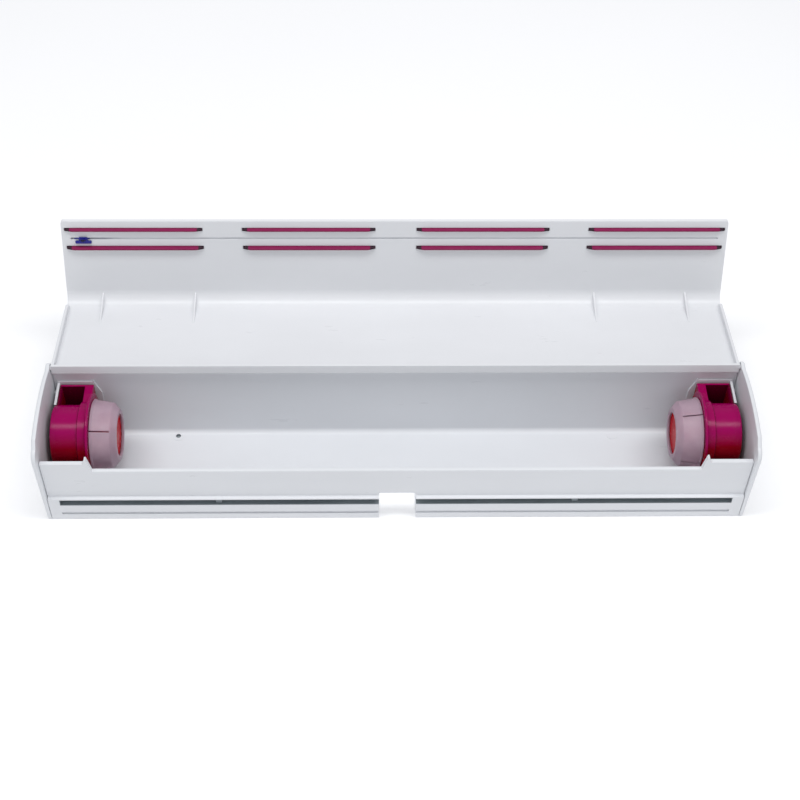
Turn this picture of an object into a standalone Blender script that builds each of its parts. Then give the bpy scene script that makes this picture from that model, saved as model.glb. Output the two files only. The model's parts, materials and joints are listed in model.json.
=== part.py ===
"""Cling film dispenser: an open box with a hinged lid, a slide cutter and two roll holders.

Units are millimetres until they reach Blender, which gets metres. X runs along the box, +Y points
to its back and +Z up. The origin is the middle of the box's underside. The lid is drawn closed and
its pivot empty then swings it open, which is how the object rests.
"""

import math

import bmesh
import bpy
from mathutils import Matrix, Vector

MM = 0.001
GAP = 0.3                       # space left between pieces that touch

# Box
BOX_LENGTH = 349.8
BACK_Y = 30.0
WALL = 2.2
BACK_DRAFT = 1.2                # how much thicker the back wall is at the floor
FLOOR = 2.2
BACK_TOP = 48.0
FRONT_Y = -26.8                 # outer face of the front wall above the cutting rail
FRONT_TOP = 37.0
RAIL_Y = -28.7                  # outer face of the cutting rail
RAIL_TOP = 16.6
RAIL_BACK = FRONT_Y + WALL      # inner face of the front wall

# Raised rims beside the roll holders
RIM_TOP = 42.5
RIM_START = 153.8
TOOTH_TIP = (152.3, 47.6)
TOOTH_FOOT = 150.2
PAD_FACE_Y = 26.8
PAD_START = 155.3
SIDE_RIB = (171.9, 173.1)
SIDE_RIB_TOP = 41.5

# Cutting groove, film groove and finger notch in the front
GROOVE_END = 169.2
GROOVE_Z = (11.6, 15.8)
GROOVE_FLOOR_Y = -25.6
BRIDGE_X = 89.7
BRIDGE_WIDTH = 3.0
BRIDGE_FACE_Y = -27.2
FILM_GROOVE_Z = (4.0, 6.1)
FILM_GROOVE_DEPTH = 0.8
NOTCH_HALF = 9.3
NOTCH_TOP = 19.2
NOTCH_BACK_Y = -13.0

# Pegs for a shorter roll: a hole on the left and a matching ring on both sides
PEG_X = 115.2
PEG_Y = 23.4
PEG_HOLE_R = 1.3
PEG_HOLE_FOOT = 0.8             # the hole is blind
PEG_RING_R = 3.0
PEG_RING_HEIGHT = 0.15

# End caps
CAP_INNER = 175.2
CAP_OUTER = 177.5
ARCH_TOP = 57.6
ARCH_SHOULDER = 54.2
ARCH_MIDDLE_Y = -1.0
ARCH_BACK_Y = 24.4
CAP_CORNER = (-30.0, 52.4)
CAP_CORNER_R = 6.0
CAP_TOE_Y = -28.7
CAP_EDGE = 1.2                  # chamfer round the outer face
TAB_LENGTH = 1.6

# Lid, as it lies when closed
PIVOT = (27.6, 52.2)
OPEN_ANGLE = math.radians(188.0)
LID_HALF = 174.7
LID_SHEET = 1.8
LID_TOP = 55.6
LID_FRONT_Y = -31.5
LID_EDGE_Z = 2.65
LID_EDGE_HALF = 172.2           # the front panel narrows towards its free edge
LID_REAR_Y = 28.8
LID_FOLD_R = 9.3
LID_FOLD = (LID_FRONT_Y + LID_FOLD_R, LID_TOP - LID_FOLD_R)
FRONT_LEAN = 1.2                # degrees by which the closed front panel leans out at the bottom
REAR_LIP = 5.5
REAR_LIP_THICK = 1.6
SIDE_LIP = (173.3, 174.7)
SIDE_LIP_Z = 50.4
SIDE_LIP_FRONT_Y = -22.0
STUD_R = 1.3
STUD_END = 176.4
STUD_BORE_R = 1.65
STUD_BORE_END = 176.8
GUSSET_X = (106.5, 155.5)
GUSSET_THICK = 0.8
GUSSET_RUN = 19.0
GUSSET_DROP = 5.6

# Grip strips on the lid's inner face: the lower row presses the film on the rail
STRIP_SPANS = ((10.8, 79.4), (100.1, 170.8))
STRIP_HEIGHT = 1.5
STRIP_SEAT = 0.8                # depth of the channel each strip sits in
LOWER_STRIP_Z = 8.0
LOWER_STRIP_PROUD = 1.6
UPPER_STRIP_Z = 19.15
UPPER_STRIP_PROUD = 2.1
STRIP_TAPER = 4.0

# Slide cutter
CUT_Z = 13.55
CUT_SLOT = (-168.3, 168.2)
CUT_SLOT_HEIGHT = 1.2
KNOB_X = (-169.2, -148.2)
KNOB_HEIGHT = 13.0
KNOB_DEPTH = 6.0
NECK_X = (-166.5, -158.5)
CLIP_X = (-166.0, -157.6)
CLIP_Z = (12.4, 16.3)
CLIP_STEP = (1.9, 14.5)         # how far its narrow part is set in, and up to what height
CLIP_THICK = 0.8
BLADE_X = (-163.4, -160.2)
BLADE_TIP_Y = -26.9
BLADE_THICK = 0.4

# Roll holders: housing in the pocket, wheel with its hub, core sleeve, washer and screw
AXIS = (2.4, 29.3)
HOUSING_X = (154.7, 171.5)
HOUSING_Y = (-23.9, 26.1)
HOUSING_STEP = (2.0, 24.0)      # in front of this Y the walls only reach this height
HOUSING_Z = (2.6, 41.2)
HOUSING_WALL = 1.4
HOUSING_OUTER_WALL = 0.8
COLLAR_END = 158.9              # the block is solid up to here, and cored beyond
COLLAR_R = 16.9
COLLAR_INSET = 0.4              # the collar's round face stops short of the block's
BARREL_R = 15.3
BARREL_END = 172.8
SEAT_R = 15.7                   # round seat in the box's side rib, which the barrel's end sits in
BORE_R = 8.3
COUNTERBORE_R = 10.9
COUNTERBORE_X = 168.6
FLANGE_X = (153.2, 154.4)
FLANGE_R = 21.3
FLANGE_CHAMFER = 0.3
JOURNAL_R = 8.0
JOURNAL_END = 168.7
HUB_R = 11.8
HUB_END = 141.5
SCREW_HOLE_R = 1.9
SCREW_HOLE_END = 157.7
SLEEVE_X = (140.2, 152.9)
SLEEVE_RIM_R = 18.4
SLEEVE_RIM_WIDTH = 1.0
SLEEVE_BASE_R = 17.9
SLEEVE_SHOULDER = (143.0, 16.4)
SLEEVE_NOSE_R = 13.0
SLEEVE_BORE_R = 12.1
SLEEVE_HOLE_R = 10.7
SLEEVE_END_WALL = 1.0
SLIT_END = 143.2
SLIT_WIDTH = 0.8
SLIT_COUNT = 4
SLIT_PHASE = {"left": 57.0, "right": 82.0}
WASHER_X = (169.0, 169.7)
WASHER_R = 10.5
SCREW_HEAD_X = (170.0, 171.2)
SCREW_HEAD_R = 3.2
SCREW_R = 1.6
SCREW_END = 158.4

ROUND_STEPS = 48
SMALL_STEPS = 20

WHITE = (0.86, 0.87, 0.89)
MAGENTA = (0.46, 0.0, 0.12)
FROST = (0.72, 0.60, 0.68)
NAVY = (0.01, 0.01, 0.16)
STEEL = (0.56, 0.57, 0.58)


# ---------------------------------------------------------------- building blocks

def clear_scene():
    for item in list(bpy.data.objects):
        bpy.data.objects.remove(item, do_unlink=True)


def material(name, color, roughness, metallic=0.0):
    mat = bpy.data.materials.new(name)
    mat.use_nodes = True
    shader = mat.node_tree.nodes["Principled BSDF"]
    shader.inputs["Base Color"].default_value = (*color, 1.0)
    shader.inputs["Roughness"].default_value = roughness
    shader.inputs["Metallic"].default_value = metallic
    return mat


def object_from(bm, name):
    """Make an object of a bmesh whose points are in millimetres."""
    bmesh.ops.remove_doubles(bm, verts=bm.verts, dist=1e-5)
    bmesh.ops.recalc_face_normals(bm, faces=bm.faces)
    bmesh.ops.scale(bm, vec=(MM, MM, MM), verts=bm.verts)
    mesh = bpy.data.meshes.new(name)
    bm.to_mesh(mesh)
    bm.free()
    obj = bpy.data.objects.new(name, mesh)
    bpy.context.scene.collection.objects.link(obj)
    return obj


def prism(name, outline, low, high, axis="x"):
    """Extrude a closed outline along an axis. The outline's two coordinates are the other axes."""
    def place(a, b, along):
        points = {"x": (along, a, b), "y": (a, along, b), "z": (a, b, along)}
        return points[axis]
    bm = bmesh.new()
    start = [bm.verts.new(place(a, b, low)) for a, b in outline]
    end = [bm.verts.new(place(a, b, high)) for a, b in outline]
    bm.faces.new(start)
    bm.faces.new(list(reversed(end)))
    count = len(outline)
    for i in range(count):
        j = (i + 1) % count
        bm.faces.new((start[i], start[j], end[j], end[i]))
    return object_from(bm, name)


def block(name, x, y, z):
    outline = [(y[0], z[0]), (y[1], z[0]), (y[1], z[1]), (y[0], z[1])]
    return prism(name, outline, min(x), max(x))


def turned(name, profile, centre, steps=ROUND_STEPS, side=1):
    """Turn a closed profile of (x, radius) points about the X axis through centre = (y, z)."""
    bm = bmesh.new()
    rings = []
    for x, radius in profile:
        if radius == 0.0:
            rings.append([bm.verts.new((side * x, centre[0], centre[1]))])
            continue
        ring = []
        for i in range(steps):
            angle = 2.0 * math.pi * i / steps
            y = centre[0] + radius * math.cos(angle)
            z = centre[1] + radius * math.sin(angle)
            ring.append(bm.verts.new((side * x, y, z)))
        rings.append(ring)
    for one, two in zip(rings, rings[1:] + rings[:1]):
        join_rings(bm, one, two)
    return object_from(bm, name)


def join_rings(bm, one, two):
    if len(one) == 1 and len(two) == 1:
        return
    count = max(len(one), len(two))
    for i in range(count):
        j = (i + 1) % count
        corners = [one[i % len(one)], one[j % len(one)], two[j % len(two)], two[i % len(two)]]
        bm.faces.new(list(dict.fromkeys(corners)))


def rod(name, radius, low, high, centre, steps=SMALL_STEPS):
    profile = [(low, 0.0), (low, radius), (high, radius), (high, 0.0)]
    return turned(name, profile, centre, steps)


def combine(target, tool, operation):
    """Apply one exact Boolean to target and remove the tool."""
    modifier = target.modifiers.new(operation.lower(), "BOOLEAN")
    modifier.operation = operation
    modifier.solver = "EXACT"
    modifier.object = tool
    bpy.context.view_layer.update()
    evaluated = target.evaluated_get(bpy.context.evaluated_depsgraph_get())
    mesh = bpy.data.meshes.new_from_object(evaluated)
    target.modifiers.remove(modifier)
    target.data = mesh
    bpy.data.objects.remove(tool, do_unlink=True)
    return target


def cut(target, *tools):
    for tool in tools:
        combine(target, tool, "DIFFERENCE")
    return target


def add(target, *tools):
    for tool in tools:
        combine(target, tool, "UNION")
    return target


def finish(obj, mat, round_shape=False):
    obj.data.materials.clear()
    obj.data.materials.append(mat)
    if round_shape:
        obj.data.shade_smooth()
        obj.data.set_sharp_from_angle(angle=math.radians(32.0))
    return obj


def hang(obj, pivot):
    """Parent an object to an empty without moving it, with its origin on the empty."""
    obj.data.transform(Matrix.Translation(-pivot))
    obj.parent = pivot_empty(pivot)
    return obj


EMPTIES = {}


def pivot_empty(point):
    key = tuple(round(value, 6) for value in point)
    if key not in EMPTIES:
        empty = bpy.data.objects.new("axis_%d" % len(EMPTIES), None)
        empty.location = point
        bpy.context.scene.collection.objects.link(empty)
        EMPTIES[key] = empty
    return EMPTIES[key]


def arc(centre, radius, start, end, steps):
    points = []
    for i in range(steps + 1):
        angle = math.radians(start + (end - start) * i / steps)
        points.append((centre[0] + radius * math.cos(angle), centre[1] + radius * math.sin(angle)))
    return points


# ---------------------------------------------------------------- box

def front_outline():
    """The front wall seen from the front: low in the middle, raised at both ends."""
    half = BOX_LENGTH / 2.0
    right = [(TOOTH_FOOT, FRONT_TOP), TOOTH_TIP, (RIM_START, RIM_TOP), (half, RIM_TOP), (half, 1.0)]
    left = [(-x, z) for x, z in reversed(right)]
    return left + right


def pad_outline(side):
    """The pad behind a roll holder, with a small hook where it starts."""
    points = [(151.5, 1.0), (151.5, 34.0), (154.2, 41.0), (154.7, 43.8), (PAD_START, RIM_TOP),
              (SIDE_RIB[1], RIM_TOP), (SIDE_RIB[1], 1.0)]
    return [(side * x, z) for x, z in points]


def make_box(white):
    half = BOX_LENGTH / 2.0
    back_foot = BACK_Y - WALL - BACK_DRAFT
    trough = [(RAIL_Y, 0.0), (BACK_Y, 0.0), (BACK_Y, BACK_TOP), (BACK_Y - WALL, BACK_TOP),
              (back_foot, FLOOR), (RAIL_BACK, FLOOR), (RAIL_BACK, RAIL_TOP), (RAIL_Y, RAIL_TOP)]
    box = prism("base_trough", trough, -half, half)
    add(box, prism("front", front_outline(), FRONT_Y, RAIL_BACK, axis="y"))
    for side in (-1, 1):
        add(box, prism("pad", pad_outline(side), PAD_FACE_Y, BACK_Y - 0.8, axis="y"))
        rib_x = sorted(side * x for x in SIDE_RIB)
        add(box, block("rib", rib_x, (AXIS[0], BACK_Y - 0.8), (1.0, SIDE_RIB_TOP)))
        seat_x = sorted((side * (SIDE_RIB[0] - 0.3), side * (SIDE_RIB[1] + 0.3)))
        cut(box, rod("seat", SEAT_R, *seat_x, AXIS, steps=ROUND_STEPS))
        ring = turned_up("ring", PEG_RING_R, 1.0, FLOOR + PEG_RING_HEIGHT, (side * PEG_X, PEG_Y))
        add(box, ring)
    cut_front(box)
    cut(box, turned_up("peg_hole", PEG_HOLE_R, PEG_HOLE_FOOT, FLOOR + 2.0, (-PEG_X, PEG_Y)))
    return finish(box, white)


def turned_up(name, radius, low, high, centre, steps=SMALL_STEPS):
    """A round post that stands along Z."""
    outline = arc(centre, radius, 0.0, 360.0 * (steps - 1) / steps, steps - 1)
    return prism(name, outline, low, high, axis="z")


def cut_front(box):
    inner = BRIDGE_X - BRIDGE_WIDTH / 2.0
    outer = BRIDGE_X + BRIDGE_WIDTH / 2.0
    spans = [(-GROOVE_END, -outer), (-inner, inner), (outer, GROOVE_END)]
    for span in spans:
        cut(box, block("groove", span, (RAIL_Y - 1.0, GROOVE_FLOOR_Y), GROOVE_Z))
    for side in (-1, 1):
        span = sorted((side * (inner - 1.0), side * (outer + 1.0)))
        cut(box, block("bridge_relief", span, (RAIL_Y - 1.0, BRIDGE_FACE_Y), GROOVE_Z))
    film = (RAIL_Y - 1.0, RAIL_Y + FILM_GROOVE_DEPTH)
    cut(box, block("film_groove", (-GROOVE_END, GROOVE_END), film, FILM_GROOVE_Z))
    cut(box, block("notch", (-NOTCH_HALF, NOTCH_HALF), (RAIL_Y - 2.0, NOTCH_BACK_Y),
                   (-1.0, NOTCH_TOP)))


def cap_outline():
    ear_r = 2.6
    arch = []
    steps = 12
    front_y = CAP_CORNER[0] + CAP_CORNER_R + 2.0
    for i in range(steps + 1):
        y = ARCH_BACK_Y + (front_y - ARCH_BACK_Y) * i / steps
        reach = (y - ARCH_MIDDLE_Y) / (ARCH_BACK_Y - ARCH_MIDDLE_Y)
        arch.append((y, ARCH_TOP - (ARCH_TOP - ARCH_SHOULDER) * reach * reach))
    ear = arc(PIVOT, ear_r, 0.0, 80.0, 5)
    corner_centre = (CAP_CORNER[0] + CAP_CORNER_R, CAP_CORNER[1] - CAP_CORNER_R)
    corner = arc(corner_centre, CAP_CORNER_R, 100.0, 180.0, 6)
    return [(CAP_TOE_Y, 0.0), (PIVOT[0] + ear_r, 0.0)] + ear + arch + corner


def chamfer_face(obj, x, width):
    """Chamfer the edges round the face that lies at this X."""
    bm = bmesh.new()
    bm.from_mesh(obj.data)
    rim = [edge for edge in bm.edges if all(abs(vert.co.x - x * MM) < 1e-6 for vert in edge.verts)]
    bmesh.ops.bevel(bm, geom=rim, offset=width * MM, segments=1, affect="EDGES", clamp_overlap=True)
    bm.to_mesh(obj.data)
    bm.free()


def make_cap(side, name, white):
    plate_x = sorted((side * CAP_INNER, side * CAP_OUTER))
    cap = prism(name, cap_outline(), *plate_x)
    chamfer_face(cap, side * CAP_OUTER, CAP_EDGE)
    tab_x = sorted((side * (CAP_INNER - TAB_LENGTH), side * (CAP_INNER + 0.8)))
    add(cap, block("floor_tab", tab_x, (-12.0, 12.0), (FLOOR + GAP, FLOOR + 2.8)))
    back = BACK_Y - WALL - BACK_DRAFT
    add(cap, block("back_tab", tab_x, (back - 1.8, back), (14.0, 36.0)))
    bore_x = sorted((side * (CAP_INNER - 1.0), side * STUD_BORE_END))
    cut(cap, rod("stud_bore", STUD_BORE_R, *bore_x, PIVOT))
    return finish(cap, white)


# ---------------------------------------------------------------- lid

def leaned(y, z):
    """Turn a point of the upright front panel to where the leaning panel has it."""
    angle = math.radians(-FRONT_LEAN)
    along = y - LID_FOLD[0]
    up = z - LID_FOLD[1]
    return (LID_FOLD[0] + along * math.cos(angle) - up * math.sin(angle),
            LID_FOLD[1] + along * math.sin(angle) + up * math.cos(angle))


def lean(obj):
    """The same for an object drawn on the upright front panel."""
    centre = Vector((0.0, *LID_FOLD)) * MM
    turn = Matrix.Rotation(math.radians(-FRONT_LEAN), 4, "X")
    obj.data.transform(Matrix.Translation(centre) @ turn @ Matrix.Translation(-centre))
    return obj


def lid_outline():
    inner_y = LID_FRONT_Y + LID_SHEET
    inner_z = LID_TOP - LID_SHEET
    lip_z = LID_TOP - REAR_LIP
    outer_arc = arc(LID_FOLD, LID_FOLD_R, 90.0, 180.0 - FRONT_LEAN, 8)
    inner_arc = arc(LID_FOLD, LID_FOLD_R - LID_SHEET, 180.0 - FRONT_LEAN, 90.0, 8)
    rear_in = LID_REAR_Y - REAR_LIP_THICK
    return ([(LID_REAR_Y, lip_z), (LID_REAR_Y, LID_TOP)] + outer_arc
            + [leaned(LID_FRONT_Y, LID_EDGE_Z), leaned(inner_y, LID_EDGE_Z)] + inner_arc
            + [(rear_in, inner_z), (rear_in, lip_z)])


def lid_gusset():
    """A thin triangle across the fold, its back a curve inside the sheet."""
    inner_y = LID_FRONT_Y + LID_SHEET
    inner_z = LID_TOP - LID_SHEET
    sunk = LID_SHEET / 2.0
    back = arc(LID_FOLD, LID_FOLD_R - sunk, 95.0, 160.0, 6)
    return ([leaned(inner_y - sunk, inner_z - GUSSET_DROP), leaned(inner_y, inner_z - GUSSET_DROP),
             (inner_y + GUSSET_RUN, inner_z), (inner_y + GUSSET_RUN, inner_z + sunk)] + back)


def edge_wedge(side):
    """What the front panel loses at one end, seen from the front."""
    slope = (LID_HALF - LID_EDGE_HALF) / (LID_FOLD[1] - LID_EDGE_Z)
    beyond = 4.0
    top = (LID_HALF + slope * beyond, LID_FOLD[1] + beyond)
    bottom = (LID_EDGE_HALF - slope * beyond, LID_EDGE_Z - beyond)
    corners = [top, (LID_HALF + beyond, top[1]), (LID_HALF + beyond, bottom[1]), bottom]
    outline = [(side * x, z) for x, z in corners]
    return prism("edge_wedge", outline, LID_FRONT_Y - 4.0, LID_FRONT_Y + LID_SHEET + 0.4, axis="y")


def make_lid(white):
    lid = prism("lid_shell", lid_outline(), -LID_HALF, LID_HALF)
    lip = [(LID_REAR_Y, LID_TOP - 0.8), (LID_REAR_Y, SIDE_LIP_Z), (SIDE_LIP_FRONT_Y, SIDE_LIP_Z),
           (SIDE_LIP_FRONT_Y - 3.4, LID_TOP - 0.8)]
    for side in (-1, 1):
        lip_x = sorted(side * x for x in SIDE_LIP)
        add(lid, prism("side_lip", lip, *lip_x))
        stud_x = sorted((side * (SIDE_LIP[0] + 0.6), side * STUD_END))
        add(lid, rod("stud", STUD_R, *stud_x, PIVOT))
        for centre in GUSSET_X:
            span = sorted((side * (centre - GUSSET_THICK / 2), side * (centre + GUSSET_THICK / 2)))
            add(lid, prism("gusset", lid_gusset(), *span))
        cut(lid, lean(edge_wedge(side)))
    through = (LID_FRONT_Y - 1.0, LID_FRONT_Y + LID_SHEET + 1.0)
    slot_z = (CUT_Z - CUT_SLOT_HEIGHT / 2, CUT_Z + CUT_SLOT_HEIGHT / 2)
    cut(lid, lean(block("cut_slot", CUT_SLOT, through, slot_z)))
    inner_y = LID_FRONT_Y + LID_SHEET
    for _, span, height, _ in strip_places():
        seat_x = (span[0] - GAP, span[1] + GAP)
        seat_z = (height - STRIP_HEIGHT / 2 - GAP, height + STRIP_HEIGHT / 2 + GAP)
        cut(lid, lean(block("seat", seat_x, (inner_y - STRIP_SEAT, inner_y + 1.0), seat_z)))
    return finish(lid, white, round_shape=True)


def strip_places():
    """Name, X span, height and how far it stands proud, for each grip strip, left to right."""
    spans = sorted([tuple(sorted((side * a, side * b))) for a, b in STRIP_SPANS for side in (-1, 1)])
    rows = (("lower", LOWER_STRIP_Z, LOWER_STRIP_PROUD), ("upper", UPPER_STRIP_Z, UPPER_STRIP_PROUD))
    places = []
    for row, height, proud in rows:
        for number, span in enumerate(spans, start=1):
            places.append(("grip_strip_%s_%d" % (row, number), span, height, proud))
    return places


def make_strip(name, span, height, proud, rubber):
    """A rubber strip whose proud edge slopes down at both ends."""
    root = LID_FRONT_Y + LID_SHEET - STRIP_SEAT + GAP
    shoulder = LID_FRONT_Y + LID_SHEET + 0.5
    face = LID_FRONT_Y + LID_SHEET + proud
    outline = [(span[0], root), (span[1], root), (span[1], shoulder),
               (span[1] - STRIP_TAPER, face), (span[0] + STRIP_TAPER, face), (span[0], shoulder)]
    z = (height - STRIP_HEIGHT / 2, height + STRIP_HEIGHT / 2)
    strip = lean(prism(name, outline, *z, axis="z"))
    return finish(strip, rubber)


def make_cutter(navy, steel):
    half = KNOB_HEIGHT / 2.0
    back = LID_FRONT_Y - GAP
    front = back - KNOB_DEPTH
    side_view = [(back, CUT_Z - half), (back, CUT_Z + half), (front + 2.0, CUT_Z + half),
                 (front, CUT_Z + half - 2.0), (front + 1.2, CUT_Z), (front, CUT_Z - half + 2.0),
                 (front + 2.0, CUT_Z - half)]
    knob = prism("slider_knob", side_view, *KNOB_X)
    neck_z = (CUT_Z - CUT_SLOT_HEIGHT / 2 + GAP, CUT_Z + CUT_SLOT_HEIGHT / 2 - GAP)
    neck_end = LID_FRONT_Y + LID_SHEET
    add(knob, block("neck", NECK_X, (back - 1.0, neck_end), neck_z))
    inset, step_z = CLIP_STEP
    face = [(CLIP_X[0] + inset, CLIP_Z[0]), (CLIP_X[1] - inset, CLIP_Z[0]),
            (CLIP_X[1] - inset, step_z), (CLIP_X[1], step_z), (CLIP_X[1], CLIP_Z[1]),
            (CLIP_X[0], CLIP_Z[1]), (CLIP_X[0], step_z), (CLIP_X[0] + inset, step_z)]
    clip_back = neck_end + GAP
    clip = prism("slider_clip", face, clip_back, clip_back + CLIP_THICK, axis="y")
    root = clip_back + CLIP_THICK + GAP
    point = [(BLADE_X[0], root), (BLADE_X[1], root), (BLADE_X[1] - 1.2, BLADE_TIP_Y),
             (BLADE_X[0] + 1.2, BLADE_TIP_Y)]
    blade_z = (CUT_Z - BLADE_THICK / 2, CUT_Z + BLADE_THICK / 2)
    blade = prism("cutter_blade", point, *blade_z, axis="z")
    return [finish(lean(knob), navy), finish(lean(clip), navy), finish(lean(blade), steel)]


# ---------------------------------------------------------------- roll holders

def make_housing(side, name, magenta):
    """A block, solid at its collar and cored beyond, with a barrel for the wheel's journal."""
    outer_x = sorted(side * x for x in HOUSING_X)
    housing = block(name, outer_x, HOUSING_Y, HOUSING_Z)
    core_x = sorted((side * COLLAR_END, side * (HOUSING_X[1] - HOUSING_OUTER_WALL)))
    core_y = (HOUSING_Y[0] + HOUSING_WALL, HOUSING_Y[1] - HOUSING_WALL)
    cut(housing, block("core", core_x, core_y, (HOUSING_Z[0] + HOUSING_WALL, HOUSING_Z[1] + 1.0)))
    above = HOUSING_Z[1] + 1.0
    whole_x = sorted((side * (HOUSING_X[0] - 1.0), side * (HOUSING_X[1] + 1.0)))
    step_y, step_z = HOUSING_STEP
    cut(housing, block("front_step", whole_x, (HOUSING_Y[0] - 1.0, step_y), (step_z, above)))
    collar = (HOUSING_X[0] + COLLAR_INSET, COLLAR_END + COLLAR_INSET)
    solid = [(collar[0], 0.0), (collar[0], COLLAR_R), (collar[1], COLLAR_R),
             (collar[1], BARREL_R), (BARREL_END, BARREL_R), (BARREL_END, 0.0)]
    add(housing, turned("barrel", solid, AXIS, side=side))
    low, high = HOUSING_X[0] - 1.0, BARREL_END + 1.0
    hole = [(low, 0.0), (low, BORE_R), (COUNTERBORE_X, BORE_R), (COUNTERBORE_X, COUNTERBORE_R),
            (high, COUNTERBORE_R), (high, 0.0)]
    cut(housing, turned("bore", hole, AXIS, side=side))
    return finish(housing, magenta, round_shape=True)


def make_wheel(side, name, magenta):
    inner, outer = FLANGE_X
    bevel = FLANGE_CHAMFER
    profile = [(HUB_END, 0.0), (HUB_END, HUB_R - bevel), (HUB_END + bevel, HUB_R), (inner, HUB_R),
               (inner, FLANGE_R - bevel), (inner + bevel, FLANGE_R), (outer - bevel, FLANGE_R),
               (outer, FLANGE_R - bevel), (outer, JOURNAL_R), (JOURNAL_END, JOURNAL_R),
               (JOURNAL_END, SCREW_HOLE_R), (SCREW_HOLE_END, SCREW_HOLE_R), (SCREW_HOLE_END, 0.0)]
    wheel = turned(name, profile, AXIS, side=side)
    return finish(wheel, magenta, round_shape=True)


def make_sleeve(side, label, name, frost):
    nose, base = SLEEVE_X
    rim = base - SLEEVE_RIM_WIDTH
    shoulder_x, shoulder_r = SLEEVE_SHOULDER
    profile = [(nose, SLEEVE_HOLE_R), (nose, SLEEVE_NOSE_R), (shoulder_x, shoulder_r),
               (rim, SLEEVE_BASE_R), (rim, SLEEVE_RIM_R), (base, SLEEVE_RIM_R),
               (base, SLEEVE_BORE_R), (nose + SLEEVE_END_WALL, SLEEVE_BORE_R),
               (nose + SLEEVE_END_WALL, SLEEVE_HOLE_R)]
    sleeve = turned(name, profile, AXIS, side=side)
    slit_x = sorted((side * SLIT_END, side * (base + 1.0)))
    for number in range(SLIT_COUNT):
        angle = 180.0 - SLIT_PHASE[label] + 360.0 * number / SLIT_COUNT
        cut(sleeve, radial_block("slit", slit_x, SLEEVE_BORE_R - 1.0, SLEEVE_RIM_R + 1.0,
                                 SLIT_WIDTH, angle))
    return finish(sleeve, frost, round_shape=True)


def radial_block(name, x, inner, outer, width, angle):
    """A thin block that reaches out from the holder's axis at an angle."""
    out = Vector((math.cos(math.radians(angle)), math.sin(math.radians(angle))))
    across = Vector((-out.y, out.x)) * width / 2.0
    centre = Vector(AXIS)
    corners = [centre + out * inner - across, centre + out * outer - across,
               centre + out * outer + across, centre + out * inner + across]
    return prism(name, [tuple(corner) for corner in corners], *x)


def make_washer(side, name, steel):
    low, high = WASHER_X
    profile = [(low, SCREW_HOLE_R), (low, WASHER_R), (high, WASHER_R), (high, SCREW_HOLE_R)]
    return finish(turned(name, profile, AXIS, steps=32, side=side), steel, round_shape=True)


def make_screw(side, name, steel):
    low, high = SCREW_HEAD_X
    profile = [(SCREW_END, 0.0), (SCREW_END, SCREW_R), (low, SCREW_R), (low, SCREW_HEAD_R),
               (high - 0.5, SCREW_HEAD_R), (high, SCREW_HEAD_R - 0.8), (high, 0.0)]
    return finish(turned(name, profile, AXIS, steps=SMALL_STEPS, side=side), steel, round_shape=True)


def make_holder(side, label, magenta, frost, steel):
    pieces = [make_housing(side, label + "_holder_housing", magenta),
              make_wheel(side, label + "_holder_wheel", magenta),
              make_sleeve(side, label, label + "_core_sleeve", frost),
              make_washer(side, label + "_retaining_washer", steel),
              make_screw(side, label + "_retaining_screw", steel)]
    centre = Vector((side * HOUSING_X[0], AXIS[0], AXIS[1])) * MM
    for piece in pieces:
        hang(piece, centre)


# ---------------------------------------------------------------- assembly

def main():
    clear_scene()
    EMPTIES.clear()
    white = material("white_plastic", WHITE, 0.35)
    magenta = material("magenta_plastic", MAGENTA, 0.22)
    rubber = material("magenta_rubber", MAGENTA, 0.6)
    frost = material("frosted_plastic", FROST, 0.45)
    navy = material("navy_plastic", NAVY, 0.35)
    steel = material("steel", STEEL, 0.3, metallic=1.0)

    make_box(white)
    make_cap(-1, "left_end_cap", white)
    make_cap(1, "right_end_cap", white)

    lid_axis = Vector((0.0, PIVOT[0], PIVOT[1])) * MM
    lid_pieces = [make_lid(white)] + make_cutter(navy, steel)
    for name, span, height, proud in strip_places():
        lid_pieces.append(make_strip(name, span, height, proud, rubber))
    for piece in lid_pieces:
        hang(piece, lid_axis)
    pivot_empty(lid_axis).rotation_euler = (-OPEN_ANGLE, 0.0, 0.0)

    for side, label in ((-1, "left"), (1, "right")):
        make_holder(side, label, magenta, frost, steel)
    bpy.context.view_layer.update()


main()
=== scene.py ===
import json
import math

import bmesh
import bpy
from mathutils import Matrix, Vector


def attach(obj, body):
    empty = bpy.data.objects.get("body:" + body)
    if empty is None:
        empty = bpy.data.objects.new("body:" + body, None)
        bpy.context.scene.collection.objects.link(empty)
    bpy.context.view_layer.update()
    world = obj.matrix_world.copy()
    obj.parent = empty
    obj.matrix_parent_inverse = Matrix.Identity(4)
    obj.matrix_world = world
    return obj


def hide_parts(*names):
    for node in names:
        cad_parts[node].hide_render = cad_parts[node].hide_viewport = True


# Looks of the cling film dispenser. Lengths are millimetres until they reach Blender, except for the
# camera and the lamps, which are in metres. The lid and what rides on it are drawn closed, where they
# line up with the box, and then swung open to rest.

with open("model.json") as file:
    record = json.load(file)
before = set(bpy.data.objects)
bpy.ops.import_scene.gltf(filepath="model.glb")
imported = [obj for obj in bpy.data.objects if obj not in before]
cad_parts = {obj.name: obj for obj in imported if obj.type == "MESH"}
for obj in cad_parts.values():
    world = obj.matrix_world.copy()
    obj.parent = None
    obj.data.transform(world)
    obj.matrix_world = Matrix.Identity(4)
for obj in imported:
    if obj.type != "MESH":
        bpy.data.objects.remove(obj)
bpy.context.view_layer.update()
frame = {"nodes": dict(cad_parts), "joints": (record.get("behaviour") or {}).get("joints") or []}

MM = 0.001
SIDES = (("left", -1), ("right", 1))
ROUND_STEPS = 96
SMALL_STEPS = 40
CORNER_STEPS = 5
SUNK = 0.8                      # how far an added piece reaches into what it joins
PAST = 1.0                      # how far a cutter reaches past what it cuts
CLEAR = 0.3                     # gap left between neighbouring pieces


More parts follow.
